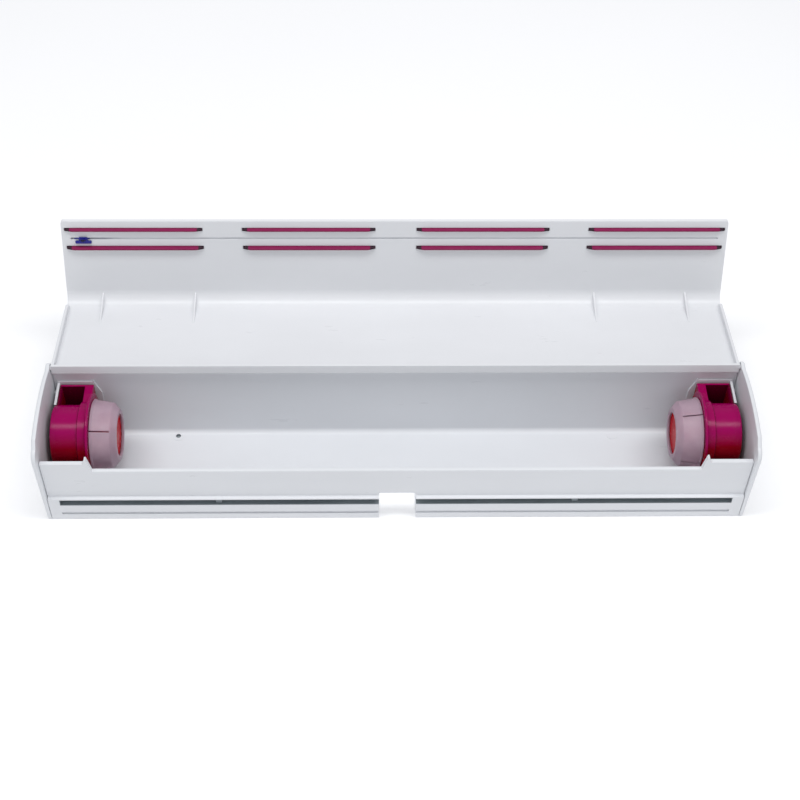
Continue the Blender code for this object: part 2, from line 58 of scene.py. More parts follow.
def joint(name):
    return next(item for item in frame["joints"] if item["name"] == name)


LID_AXIS = Vector(joint("lid_hinge")["pos_m"])
OPEN_ANGLE = math.radians(joint("lid_hinge")["range_deg"][1])


def lid_turn(angle):
    """The lid's turn about its hinge: a positive angle closes it."""
    return (Matrix.Translation(LID_AXIS) @ Matrix.Rotation(angle, 4, "X")
            @ Matrix.Translation(-LID_AXIS))


def span_of(points):
    low = Vector([min(point[i] for point in points) for i in range(3)]) / MM
    high = Vector([max(point[i] for point in points) for i in range(3)]) / MM
    return low, high


def node_box(name):
    """Lowest and highest corners of a CAD node at rest, in millimetres."""
    return span_of([vertex.co for vertex in frame["nodes"][name].data.vertices])


def closed_box(name, upright=False):
    """The same for a node on the lid, with the lid closed, and its front panel set upright."""
    turn = lid_turn(OPEN_ANGLE)
    if upright:
        turn = lean_turn(-FRONT_LEAN) @ turn
    return span_of([turn @ vertex.co for vertex in frame["nodes"][name].data.vertices])


def lean_turn(angle):
    """The front panel's lean about the centre of the fold: a positive angle moves its edge out."""
    centre = Vector((0.0, *LID_FOLD)) * MM
    return Matrix.Translation(centre) @ Matrix.Rotation(-angle, 4, "X") @ Matrix.Translation(-centre)


# ---------------------------------------------------------------- sizes

# Box, from its node's box
BOX_LOW, BOX_HIGH = node_box("base_trough")
HALF = BOX_HIGH.x
RAIL_Y = BOX_LOW.y
BACK_Y = BOX_HIGH.y
BACK_TOP = BOX_HIGH.z
WALL = 2.2
FLOOR = 2.2
FRONT_Y = RAIL_Y + 1.9
FRONT_INNER_Y = FRONT_Y + WALL
BACK_INNER_Y = BACK_Y - WALL
BACK_FOOT_Y = BACK_INNER_Y - 1.2
FRONT_TOP = 37.0
RAIL_TOP = 16.6
RIM_TOP = 42.5
RIM_START = 153.8
TOOTH_TIP = (152.3, 47.6)
TOOTH_FOOT = 150.2
PAD_FACE_Y = 26.8
PAD_START = 155.3
PAD_HOOK = ((151.5, 34.0, 1.5), (154.2, 41.0, 1.0), (154.7, 43.8, 0.25))
SIDE_RIB = (171.9, 173.1)
SIDE_RIB_TOP = 41.5
GROOVE_END = 169.2
GROOVE_Z = (11.6, 15.8)
GROOVE_FLOOR_Y = -25.6
BRIDGE_X = 89.7
BRIDGE_WIDTH = 3.0
BRIDGE_FACE_Y = -27.2
FILM_GROOVE_Z = (4.0, 6.1)
FILM_GROOVE_DEPTH = 0.8
NOTCH_HALF = 9.3
NOTCH_TOP = 19.2
NOTCH_BACK_Y = -13.0
PEG_X = 115.2
PEG_Y = 23.4
PEG_HOLE_R = 1.3
PEG_HOLE_FOOT = 0.8
PEG_RING_R = 3.0
PEG_RING_HEIGHT = 0.15

# End caps
CAP_LOW, CAP_HIGH = node_box("right_end_cap")
CAP_THICK = 2.3
CAP_OUTER = CAP_HIGH.x
CAP_INNER = CAP_OUTER - CAP_THICK
ARCH_TOP = CAP_HIGH.z
ARCH_SHOULDER = 54.2
ARCH_MIDDLE_Y = -1.0
ARCH_BACK_Y = 24.4
CAP_FRONT_Y = CAP_LOW.y
CAP_CORNER_Z = 52.4
CAP_CORNER_R = 6.0
CAP_TOE_Y = -28.7
CAP_EDGE = 1.2
EAR_R = 2.6
TAB_LENGTH = 1.6
TAB_THICK = 1.8
FLOOR_TAB_Y = (-12.0, 12.0)
FLOOR_TAB_Z = (FLOOR + CLEAR, FLOOR + 2.8)
BACK_TAB_Z = (14.0, 36.0)

# Lid, from its closed box
LID_HIGH = closed_box("lid_shell")[1]
PIVOT = (LID_AXIS.y / MM, LID_AXIS.z / MM)
STUD_END = LID_HIGH.x
STUD_R = 1.3
STUD_BORE_R = 1.65
STUD_BORE_END = 176.8
LID_HALF = STUD_END - 1.7
LID_SHEET = 1.8
LID_TOP = LID_HIGH.z
LID_FRONT_Y = -31.5
LID_EDGE_Z = 2.65
LID_EDGE_HALF = 172.2
LID_REAR_Y = 28.8
LID_FOLD_R = 9.3
LID_FOLD = (LID_FRONT_Y + LID_FOLD_R, LID_TOP - LID_FOLD_R)
FRONT_LEAN = math.radians(1.2)
LID_INNER_Y = LID_FRONT_Y + LID_SHEET
LID_INNER_Z = LID_TOP - LID_SHEET
REAR_LIP = 5.5
REAR_LIP_THICK = 1.6
SIDE_LIP_THICK = 1.4
SIDE_LIP_Z = 50.4
SIDE_LIP_FRONT_Y = -22.0
GUSSET_X = (106.5, 155.5)
GUSSET_THICK = 0.8
GUSSET_RUN = 19.0
GUSSET_DROP = 5.6
CUT_Z = 13.55
CUT_SLOT = (-168.3, 168.2)
CUT_SLOT_HEIGHT = 1.2
STRIP_SEAT = 0.8
STRIP_TIP = 2.6                 # how much of each end has painted shade
# A strip's slope at each end, as (distance from the end, share of the full height)
STRIP_SLOPE = ((0.0, 0.45), (0.5, 0.60), (STRIP_TIP, 0.88), (4.0, 1.0))
KNOB_NECK = (-166.5, -158.5)
CLIP_STEP = (1.9, 14.5)         # inset of the clip's narrow lower part, and the height where it ends

# Roll holders, from their nodes' boxes on the right side
WHEEL_LOW, WHEEL_HIGH = node_box("right_holder_wheel")
AXIS = ((WHEEL_LOW.y + WHEEL_HIGH.y) / 2.0, (WHEEL_LOW.z + WHEEL_HIGH.z) / 2.0)
FLANGE_R = (WHEEL_HIGH.z - WHEEL_LOW.z) / 2.0
HUB_END = WHEEL_LOW.x
JOURNAL_END = WHEEL_HIGH.x
FLANGE_X = (153.2, 154.4)
HUB_R = 11.8
JOURNAL_R = 8.0
SCREW_HOLE_R = 1.9
SCREW_HOLE_END = 157.7
HOUSING_LOW, HOUSING_HIGH = node_box("right_holder_housing")
HOUSING_OUTER = 171.5
HOUSING_TOP = 41.2
HOUSING_STEP = (2.0, 24.0)
HOUSING_WALL = 1.4
HOUSING_OUTER_WALL = 0.8
COLLAR_END = 158.9
COLLAR_R = 16.9
COLLAR_INSET = 0.4
BARREL_R = 15.3
BARREL_END = 172.8
SEAT_R = 15.7
BORE_R = 8.3
COUNTERBORE_R = 10.9
COUNTERBORE_X = 168.6
SLEEVE_LOW, SLEEVE_HIGH = node_box("right_core_sleeve")
SLEEVE_RIM_R = (SLEEVE_HIGH.z - SLEEVE_LOW.z) / 2.0
SLEEVE_RIM_WIDTH = 1.0
SLEEVE_BASE_R = 17.9
SLEEVE_SHOULDER = (143.0, 16.4)
SLEEVE_NOSE_R = 13.0
SLEEVE_BORE_R = 12.1
SLEEVE_HOLE_R = 10.7
SLEEVE_END_WALL = 1.0
SLIT_END = 143.2
SLIT_WIDTH = 0.8
SLIT_COUNT = 4
SLIT_PHASE = {"left": 57.0, "right": 82.0}

# Camera: place in metres, turns in degrees
CAMERA_AT = (-0.01406, -0.46863, 0.61389)
CAMERA_YAW = -1.85
CAMERA_PITCH = 49.80
CAMERA_ROLL = 1.26
CAMERA_LENS = 66.40
CAMERA_SENSOR = 36.0
CAMERA_NEAR = 0.01

# Stage floor
FLOOR_SIZE = 6000.0
FLOOR_DROP = 0.05               # keeps the floor from meeting the box's underside


# ---------------------------------------------------------------- shape helpers

def object_from(bm, name):
    """Make an object of a bmesh whose points are in millimetres."""
    bmesh.ops.remove_doubles(bm, verts=bm.verts, dist=1e-4)
    bmesh.ops.recalc_face_normals(bm, faces=bm.faces)
    bmesh.ops.scale(bm, vec=(MM, MM, MM), verts=bm.verts)
    mesh = bpy.data.meshes.new(name)
    bm.to_mesh(mesh)
    bm.free()
    obj = bpy.data.objects.new(name, mesh)
    bpy.context.scene.collection.objects.link(obj)
    return obj


def rounded(corners, steps=CORNER_STEPS):
    """An outline from (a, b, radius) corners, each turned into an arc of its radius."""
    outline = []
    count = len(corners)
    for i, (a, b, radius) in enumerate(corners):
        if radius == 0.0:
            outline.append((a, b))
            continue
        corner = Vector((a, b))
        before = (Vector(corners[i - 1][:2]) - corner).normalized()
        after = (Vector(corners[(i + 1) % count][:2]) - corner).normalized()
        half = before.angle(after) / 2.0
        start = corner + before * (radius / math.tan(half))
        centre = corner + (before + after).normalized() * (radius / math.sin(half))
        arm = start - centre
        sweep = math.copysign(math.pi - 2.0 * half, after.cross(before))
        for step in range(steps + 1):
            turn = Matrix.Rotation(sweep * step / steps, 2)
            outline.append(tuple(centre + turn @ arm))
    return outline


def arc(centre, radius, start, end, steps):
    points = []
    for i in range(steps + 1):
        angle = math.radians(start + (end - start) * i / steps)
        points.append((centre[0] + radius * math.cos(angle), centre[1] + radius * math.sin(angle)))
    return points


def prism(name, outline, low, high, axis="x"):
    """Extrude a closed outline along an axis. The outline's two coordinates are the other axes."""
    def place(a, b, along):
        points = {"x": (along, a, b), "y": (a, along, b), "z": (a, b, along)}
        return points[axis]
    bm = bmesh.new()
    start = [bm.verts.new(place(a, b, low)) for a, b in outline]
    end = [bm.verts.new(place(a, b, high)) for a, b in outline]
    bm.faces.new(start)
    bm.faces.new(list(reversed(end)))
    count = len(outline)
    for i in range(count):
        j = (i + 1) % count
        bm.faces.new((start[i], start[j], end[j], end[i]))
    return object_from(bm, name)


def block(name, x, y, z):
    outline = [(y[0], z[0]), (y[1], z[0]), (y[1], z[1]), (y[0], z[1])]
    return prism(name, outline, min(x), max(x))


def join_rings(bm, one, two):
    if len(one) == 1 and len(two) == 1:
        return
    count = max(len(one), len(two))
    for i in range(count):
        j = (i + 1) % count
        corners = [one[i % len(one)], one[j % len(one)], two[j % len(two)], two[i % len(two)]]
        bm.faces.new(list(dict.fromkeys(corners)))


def turned(name, profile, centre, steps=ROUND_STEPS, side=1):
    """Turn a closed profile of (x, radius) points about the X axis through centre = (y, z)."""
    bm = bmesh.new()
    rings = []
    for x, radius in profile:
        if radius < 1e-6:
            rings.append([bm.verts.new((side * x, centre[0], centre[1]))])
            continue
        ring = []
        for i in range(steps):
            angle = 2.0 * math.pi * i / steps
            y = centre[0] + radius * math.cos(angle)
            z = centre[1] + radius * math.sin(angle)
            ring.append(bm.verts.new((side * x, y, z)))
        rings.append(ring)
    for one, two in zip(rings, rings[1:] + rings[:1]):
        join_rings(bm, one, two)
    return object_from(bm, name)


def rod(name, radius, low, high, centre, steps=SMALL_STEPS):
    profile = [(low, 0.0), (low, radius), (high, radius), (high, 0.0)]
    return turned(name, profile, centre, steps)


def post(name, radius, low, high, centre, axis="z", steps=SMALL_STEPS):
    """A round post along Y or Z."""
    outline = arc(centre, radius, 0.0, 360.0 * (steps - 1) / steps, steps - 1)
    return prism(name, outline, low, high, axis=axis)


def combine(target, tool, operation):
    """Apply one exact Boolean to target and remove the tool."""
    modifier = target.modifiers.new(operation.lower(), "BOOLEAN")
    modifier.operation = operation
    modifier.solver = "EXACT"
    modifier.object = tool
    bpy.context.view_layer.update()
    evaluated = target.evaluated_get(bpy.context.evaluated_depsgraph_get())
    mesh = bpy.data.meshes.new_from_object(evaluated)
    target.modifiers.remove(modifier)
    target.data = mesh
    bpy.data.objects.remove(tool, do_unlink=True)
    return target


def cut(target, *tools):
    for tool in tools:
        combine(target, tool, "DIFFERENCE")
    return target


def add(target, *tools):
    for tool in tools:
        combine(target, tool, "UNION")
    return target


def soften(obj, width, segments=3, limit=35.0):
    """Round every edge sharper than the limit, and shade the flats flat and the rounds round."""
    bevel = obj.modifiers.new("soft_edges", "BEVEL")
    bevel.width = width * MM
    bevel.segments = segments
    bevel.limit_method = "ANGLE"
    bevel.angle_limit = math.radians(limit)
    smooth(obj)
    return obj


def smooth(obj, angle=38.0):
    obj.data.shade_smooth()
    obj.data.set_sharp_from_angle(angle=math.radians(angle))
    weights = obj.modifiers.new("flat_faces_lead", "WEIGHTED_NORMAL")
    weights.keep_sharp = True
    return obj


def place(obj, mat, body, slot, *nodes):
    """Give a finished piece its material and its body, and hide the CAD nodes that it stands for."""
    obj.data.materials.clear()
    obj.data.materials.append(mat)
    if body in ("lid", "cutter"):
        obj.data.transform(lid_turn(-OPEN_ANGLE))
    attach(obj, body)
    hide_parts(*nodes)
    return obj


# ---------------------------------------------------------------- materials

class Finish:
    """A node material built round one Principled shader."""

    def __init__(self, name, roughness, metallic=0.0, specular=0.5):
        self.mat = bpy.data.materials.new(name)
        self.mat.use_nodes = True
        self.tree = self.mat.node_tree
        self.shader = self.tree.nodes["Principled BSDF"]
        self.shader.inputs["Roughness"].default_value = roughness
        self.shader.inputs["Metallic"].default_value = metallic
        self.shader.inputs["Specular IOR Level"].default_value = specular
        self.coords = self.node("ShaderNodeTexCoord").outputs["Object"]

    def node(self, kind):
        return self.tree.nodes.new(kind)

    def link(self, output, target):
        self.tree.links.new(output, target)

    def noise(self, scale, detail=3.0, stretch=(1.0, 1.0, 1.0), roughness=0.55):
        """Noise with about scale grains to the metre, stretched along the axes."""
        mapping = self.node("ShaderNodeMapping")
        mapping.inputs["Scale"].default_value = stretch
        self.link(self.coords, mapping.inputs["Vector"])
        texture = self.node("ShaderNodeTexNoise")
        texture.inputs["Scale"].default_value = scale
        texture.inputs["Detail"].default_value = detail
        texture.inputs["Roughness"].default_value = roughness
        self.link(mapping.outputs["Vector"], texture.inputs["Vector"])
        return texture.outputs["Fac"]

    def spread(self, value, low, high, from_low=0.3, from_high=0.7):
        """Map a texture's middle range to low..high."""
        remap = self.node("ShaderNodeMapRange")
        remap.inputs["From Min"].default_value = from_low
        remap.inputs["From Max"].default_value = from_high
        remap.inputs["To Min"].default_value = low
        remap.inputs["To Max"].default_value = high
        self.link(value, remap.inputs["Value"])
        return remap.outputs["Result"]

    def blend(self, factor, one, two):
        """Mix two colours, each a tuple or another node's output."""
        mix = self.node("ShaderNodeMix")
        mix.data_type = "RGBA"
        # Inputs 6 and 7 and output 2 are this node's colour sockets.
        for socket, color in ((mix.inputs[6], one), (mix.inputs[7], two)):
            if isinstance(color, tuple):
                socket.default_value = (*color, 1.0)
            else:
                self.link(color, socket)
        self.link(factor, mix.inputs[0])
        return mix.outputs[2]

    def height(self, low, high):
        """A factor that rises from 0 to 1 between two heights, in millimetres."""
        split = self.node("ShaderNodeSeparateXYZ")
        self.link(self.coords, split.inputs["Vector"])
        return self.spread(split.outputs["Z"], 0.0, 1.0, low * MM, high * MM)

    def color(self, source):
        self.link(source, self.shader.inputs["Base Color"])

    def rough(self, source):
        self.link(source, self.shader.inputs["Roughness"])

    def bump(self, *layers):
        """Stack bumps of (height, distance in millimetres)."""
        normal = None
        for source, distance in layers:
            bump = self.node("ShaderNodeBump")
            bump.inputs["Strength"].default_value = 1.0
            bump.inputs["Distance"].default_value = distance * MM
            self.link(source, bump.inputs["Height"])
            if normal is not None:
                self.link(normal, bump.inputs["Normal"])
            normal = bump.outputs["Normal"]
        self.link(normal, self.shader.inputs["Normal"])


def white_plastic(name, tone):
    """Injection-moulded white plastic: flow clouds, a fine moulded skin and faint handling marks."""
    finish = Finish(name, 0.34, specular=0.45)
    clouds = finish.noise(9.0, 4.0, (1.0, 2.4, 2.4))
    specks = finish.noise(900.0, 2.0)
    darker = tuple(value * 0.955 for value in tone)
    clouded = finish.blend(finish.spread(clouds, 0.0, 1.0), darker, tone)
    finish.color(finish.blend(finish.spread(specks, 0.0, 0.35, 0.62, 0.8), clouded, darker))
    scuffs = finish.noise(140.0, 6.0, (0.25, 1.0, 1.0), 0.7)
    finish.rough(finish.spread(scuffs, 0.26, 0.44))
    finish.bump((finish.noise(1400.0, 2.0), 0.006), (finish.noise(45.0, 2.0), 0.03))
    return finish.mat


def magenta_plastic(name, upper, lower, low, high, specular=0.14):
    """Glossy tinted plastic with painted shade: deeper and redder low down, between two heights."""
    finish = Finish(name, 0.2, specular=specular)
    clouds = finish.noise(60.0, 3.0)
    # Painted shade: the lower tone below the low height, the upper tone above the high one.
    tone = finish.blend(finish.height(low, high), lower, upper)
    shade = tuple(value * 0.8 for value in upper)
    finish.color(finish.blend(finish.spread(clouds, 0.0, 0.12), tone, shade))
    finish.rough(finish.spread(finish.noise(220.0, 4.0), 0.16, 0.3))
    finish.bump((finish.noise(1600.0, 2.0), 0.004), (finish.noise(90.0, 2.0), 0.02))
    return finish.mat


def grip_rubber(name, tone, dusty):
    """Soft matte rubber with a fine grain and a little dust in it."""
    finish = Finish(name, 0.62, specular=0.3)
    dust = finish.noise(420.0, 5.0, (0.4, 1.0, 1.0))
    finish.color(finish.blend(finish.spread(dust, 0.0, 0.5), tone, dusty))
    finish.rough(finish.spread(finish.noise(700.0, 3.0), 0.5, 0.75))
    finish.bump((finish.noise(2200.0, 3.0), 0.02),)
    return finish.mat


def painted_recess_shade():
    """Painted shade for the deep front channel and the peg hole: a dull, darker grey in place of the
    shade that falls in them.
    """
    finish = Finish("painted_recess_shade", 0.6, specular=0.2)
    clouds = finish.noise(60.0, 3.0)
    mottle = finish.spread(clouds, 0.0, 1.0)
    finish.color(finish.blend(mottle, (0.26, 0.295, 0.315), (0.31, 0.345, 0.365)))
    finish.rough(finish.spread(finish.noise(400.0, 3.0), 0.5, 0.7))
    finish.bump((finish.noise(1400.0, 2.0), 0.006),)
    return finish.mat


def frosted_plastic():
    """Cloudy plastic that lets light and the red hub behind it glow through."""
    finish = Finish("frosted_plastic", 0.42, specular=0.4)
    clouds = finish.noise(160.0, 3.0)
    mottle = finish.spread(clouds, 0.0, 1.0)
    finish.color(finish.blend(mottle, (0.72, 0.53, 0.64), (0.82, 0.64, 0.74)))
    finish.shader.inputs["Transmission Weight"].default_value = 0.55
    finish.shader.inputs["IOR"].default_value = 1.35
    finish.rough(finish.spread(finish.noise(500.0, 3.0), 0.36, 0.5))
    finish.bump((finish.noise(1500.0, 3.0), 0.01),)
    return finish.mat


def navy_plastic():
    """Dark blue moulded plastic of the slide cutter."""
    finish = Finish("navy_plastic", 0.3, specular=0.5)
    clouds = finish.noise(240.0, 3.0)
    mottle = finish.spread(clouds, 0.0, 1.0)
    finish.color(finish.blend(mottle, (0.002, 0.002, 0.20), (0.004, 0.004, 0.27)))
    finish.rough(finish.spread(finish.noise(600.0, 4.0), 0.24, 0.42))
    finish.bump((finish.noise(2000.0, 2.0), 0.006),)
    return finish.mat


def brushed_steel(name, tone, light):
    """Steel with fine lines that run along the box."""
    finish = Finish(name, 0.28, metallic=1.0)
    lines = finish.noise(900.0, 3.0, (0.1, 1.0, 1.0))
    finish.color(finish.blend(finish.spread(lines, 0.0, 1.0), tone, light))
    finish.rough(finish.spread(lines, 0.2, 0.38))
    finish.bump((lines, 0.004),)
    return finish.mat


# ---------------------------------------------------------------- box

def trough_outline():
    return rounded([
        (RAIL_Y, 0.0, 0.7), (BACK_Y, 0.0, 0.9), (BACK_Y, BACK_TOP, 0.7),
        (BACK_INNER_Y, BACK_TOP, 0.7), (BACK_FOOT_Y, FLOOR, 2.6), (FRONT_INNER_Y, FLOOR, 1.8),
        (FRONT_INNER_Y, FRONT_TOP, 0.6), (FRONT_Y, FRONT_TOP, 0.8), (FRONT_Y, RAIL_TOP, 0.5),
        (RAIL_Y, RAIL_TOP, 0.5)])


def raised_rim(side):
    """The taller end of the front wall, with its small hook."""
    root = FRONT_TOP - 1.2
    corners = [(TOOTH_FOOT, root, 0.0), (TOOTH_FOOT, FRONT_TOP, 0.0), (*TOOTH_TIP, 0.5),
               (RIM_START, RIM_TOP, 0.8), (HALF, RIM_TOP, 0.0), (HALF, root, 0.0)]
    return [(side * x, z) for x, z in rounded(corners)]


def pad_outline(side):
    """The pad behind a roll holder, with a small hook where it starts."""
    root = 1.0
    corners = [(PAD_HOOK[0][0], root, 0.0), *PAD_HOOK, (PAD_START, RIM_TOP, 0.2),
               (SIDE_RIB[1], RIM_TOP, 0.0), (SIDE_RIB[1], root, 0.0)]
    return [(side * x, z) for x, z in rounded(corners)]


def make_box(white, shade):
    """The trough, with its rims, pads, ribs and peg rings, and all that is cut from it."""
    box = prism("trough", trough_outline(), -HALF, HALF)
    for _, side in SIDES:
        add(box, prism("rim", raised_rim(side), FRONT_Y, FRONT_INNER_Y, axis="y"))
        add(box, prism("pad", pad_outline(side), PAD_FACE_Y, BACK_Y - SUNK, axis="y"))
        rib_x = sorted(side * x for x in SIDE_RIB)
        add(box, block("rib", rib_x, (AXIS[0], BACK_Y - SUNK), (1.0, SIDE_RIB_TOP)))
        seat_x = sorted((side * (SIDE_RIB[0] - 0.3), side * (SIDE_RIB[1] + 0.3)))
        cut(box, rod("seat", SEAT_R, *seat_x, AXIS, steps=ROUND_STEPS))
        top = FLOOR + PEG_RING_HEIGHT
        add(box, post("peg_ring", PEG_RING_R, 1.0, top, (side * PEG_X, PEG_Y)))
    cut_front(box)
    cut(box, post("peg_hole", PEG_HOLE_R, PEG_HOLE_FOOT, FLOOR + 2.0, (-PEG_X, PEG_Y)))
    soften(box, 0.3, segments=2)
    box = place(box, white, "base", "body_plastic", "base_trough")
    # Painted shade: the faces in the front channel and the peg hole take the darker grey.
    tint(box, shade, in_recess)
    return box


def in_recess(centre):
    """Whether a face of the box lies inside the front channel or the peg hole, where shade is painted.
    """
    x, y, z = centre
    in_channel = abs(x) < GROOVE_END and RAIL_Y + 0.35 < y < GROOVE_FLOOR_Y + 0.2
    in_hole = math.hypot(x + PEG_X, y - PEG_Y) < PEG_HOLE_R + 0.1 and 0.2 < z < FLOOR - 0.1
    return (in_channel and GROOVE_Z[0] - 0.2 < z < GROOVE_Z[1] + 0.2) or in_hole


def in_core(centre):
    """Whether a face of a holder housing lies in its open core, round the barrel, where shade is
    painted.
    """
    x, y, z = centre
    off_barrel = math.hypot(y - AXIS[0], z - AXIS[1]) > BARREL_R + 0.15
    in_walls = abs(x) > COLLAR_END - 0.1 and y < HOUSING_HIGH.y - HOUSING_WALL + 0.1
    return off_barrel and in_walls and z > 6.0


def tint(obj, mat, test):
    """Give a second material to the faces whose middle, in millimetres, passes the test."""
    obj.data.materials.append(mat)
    for face in obj.data.polygons:
        if test(obj.matrix_world @ face.center / MM):
            face.material_index = 1


def cut_front(box):
    """The cutting rail's channel and film groove, and the finger notch."""
    inner = BRIDGE_X - BRIDGE_WIDTH / 2.0
    outer = BRIDGE_X + BRIDGE_WIDTH / 2.0
    spans = [(-GROOVE_END, -outer), (-inner, inner), (outer, GROOVE_END)]
    for span in spans:
        cut(box, block("groove", span, (RAIL_Y - PAST, GROOVE_FLOOR_Y), GROOVE_Z))
    for _, side in SIDES:
        span = sorted((side * (inner - PAST), side * (outer + PAST)))
        cut(box, block("bridge_relief", span, (RAIL_Y - PAST, BRIDGE_FACE_Y), GROOVE_Z))
    film = (RAIL_Y - PAST, RAIL_Y + FILM_GROOVE_DEPTH)
    cut(box, block("film_groove", (-GROOVE_END, GROOVE_END), film, FILM_GROOVE_Z))
    corners = [(-NOTCH_HALF, -PAST, 0.0), (NOTCH_HALF, -PAST, 0.0), (NOTCH_HALF, NOTCH_TOP, 1.2),
               (-NOTCH_HALF, NOTCH_TOP, 1.2)]
    cut(box, prism("notch", rounded(corners), RAIL_Y - 2.0, NOTCH_BACK_Y, axis="y"))


def cap_outline():
    """The end cap's side view: foot, back, the lid's ear, a parabolic arch and a round front corner."""
    corner_y = CAP_FRONT_Y + CAP_CORNER_R
    front_y = corner_y + 2.0
    arch = []
    steps = 24
    for i in range(steps + 1):
        y = ARCH_BACK_Y + (front_y - ARCH_BACK_Y) * i / steps
        reach = (y - ARCH_MIDDLE_Y) / (ARCH_BACK_Y - ARCH_MIDDLE_Y)
        arch.append((y, ARCH_TOP - (ARCH_TOP - ARCH_SHOULDER) * reach * reach))
    ear = arc(PIVOT, EAR_R, 0.0, 80.0, 10)
    corner = arc((corner_y, CAP_CORNER_Z - CAP_CORNER_R), CAP_CORNER_R, 100.0, 180.0, 12)
    return [(CAP_TOE_Y, 0.0), (PIVOT[0] + EAR_R, 0.0)] + ear + arch + corner


def round_face(obj, x, width):
    """Round the edges of the face that lies at this X."""
    bm = bmesh.new()
    bm.from_mesh(obj.data)
    rim = [edge for edge in bm.edges if all(abs(vert.co.x - x * MM) < 1e-6 for vert in edge.verts)]
    bmesh.ops.bevel(bm, geom=rim, offset=width * MM, segments=4, profile=0.5, affect="EDGES",
                    clamp_overlap=True)
    bm.to_mesh(obj.data)
    bm.free()


def make_cap(label, side, white):
    """A plate with a bore for the lid's stud and two tabs that reach into the box."""
    name = label + "_end_cap"
    plate_x = sorted((side * CAP_INNER, side * CAP_OUTER))
    cap = prism(name + "_plate", cap_outline(), *plate_x)
    round_face(cap, side * CAP_OUTER, CAP_EDGE)
    tab_x = sorted((side * (CAP_INNER - TAB_LENGTH), side * (CAP_INNER + SUNK)))
    add(cap, block("floor_tab", tab_x, FLOOR_TAB_Y, FLOOR_TAB_Z))
    add(cap, block("back_tab", tab_x, (BACK_FOOT_Y - TAB_THICK, BACK_FOOT_Y), BACK_TAB_Z))
    bore_x = sorted((side * (CAP_INNER - PAST), side * STUD_BORE_END))
    cut(cap, rod("stud_bore", STUD_BORE_R, *bore_x, PIVOT))
    soften(cap, 0.3)
    return place(cap, white, "base", "body_plastic", name)


# ---------------------------------------------------------------- lid

def lean(obj):
    """Lay an object that is drawn on the upright front panel on the leaning one."""
    obj.data.transform(lean_turn(FRONT_LEAN))
    return obj


def leaned(y, z):
    """Where a point of the upright front panel lies once it leans."""
    point = lean_turn(FRONT_LEAN) @ (Vector((0.0, y, z)) * MM) / MM
    return point.y, point.z


def lid_outline():
    """The closed lid's side view: rear lip, top panel, fold and leaning front panel."""
    lip_z = LID_TOP - REAR_LIP
    rear_in = LID_REAR_Y - REAR_LIP_THICK
    outer_edge = leaned(LID_FRONT_Y, LID_EDGE_Z)
    inner_edge = leaned(LID_INNER_Y, LID_EDGE_Z)
    outer_fold = arc(LID_FOLD, LID_FOLD_R, 90.0, 180.0 - math.degrees(FRONT_LEAN), 16)
    inner_fold = arc(LID_FOLD, LID_FOLD_R - LID_SHEET, 180.0 - math.degrees(FRONT_LEAN), 90.0, 16)
    ends = [(LID_REAR_Y, lip_z, 0.4), (LID_REAR_Y, LID_TOP, 0.8)]
    folds = [(y, z, 0.0) for y, z in outer_fold]
    edge = [(*outer_edge, 0.6), (*inner_edge, 0.6)]
    returns = [(y, z, 0.0) for y, z in inner_fold]
    lip = [(rear_in, LID_INNER_Z, 0.5), (rear_in, lip_z, 0.4)]
    return rounded(ends + folds + edge + returns + lip, steps=6)


def gusset_outline():
    """A thin triangle across the fold, its back a curve inside the sheet."""
    sunk = LID_SHEET / 2.0
    back = arc(LID_FOLD, LID_FOLD_R - sunk, 95.0, 160.0, 10)
    foot = LID_INNER_Z - GUSSET_DROP
    return [leaned(LID_INNER_Y - sunk, foot), leaned(LID_INNER_Y + 0.1, foot),
            (LID_INNER_Y + GUSSET_RUN, LID_INNER_Z - 0.1),
            (LID_INNER_Y + GUSSET_RUN, LID_INNER_Z + sunk)] + back


def edge_wedge(side):
    """What the front panel loses at one end, as it narrows towards its free edge."""
    slope = (LID_HALF - LID_EDGE_HALF) / (LID_FOLD[1] - LID_EDGE_Z)
    beyond = 4.0
    top = (LID_HALF + slope * beyond, LID_FOLD[1] + beyond)
    bottom = (LID_EDGE_HALF - slope * beyond, LID_EDGE_Z - beyond)
    corners = [top, (LID_HALF + beyond, top[1]), (LID_HALF + beyond, bottom[1]), bottom]
    outline = [(side * x, z) for x, z in corners]
    return prism("edge_wedge", outline, LID_FRONT_Y - 4.0, LID_FRONT_Y + LID_SHEET + 0.4, axis="y")


def edge_corner(side):
    """The free edge's corner, cut to a small round."""
    radius = 1.6
    centre = (LID_EDGE_HALF - radius, LID_EDGE_Z + radius)
    beyond = 2.0
    curve = arc(centre, radius, -90.0, 0.0, 8)
    outside = LID_EDGE_HALF + beyond
    below = LID_EDGE_Z - beyond
    corners = curve + [(outside, centre[1]), (outside, below), (centre[0], below)]
    outline = [(side * x, z) for x, z in corners]
    return prism("edge_corner", outline, LID_FRONT_Y - 4.0, LID_FRONT_Y + LID_SHEET + 0.4, axis="y")


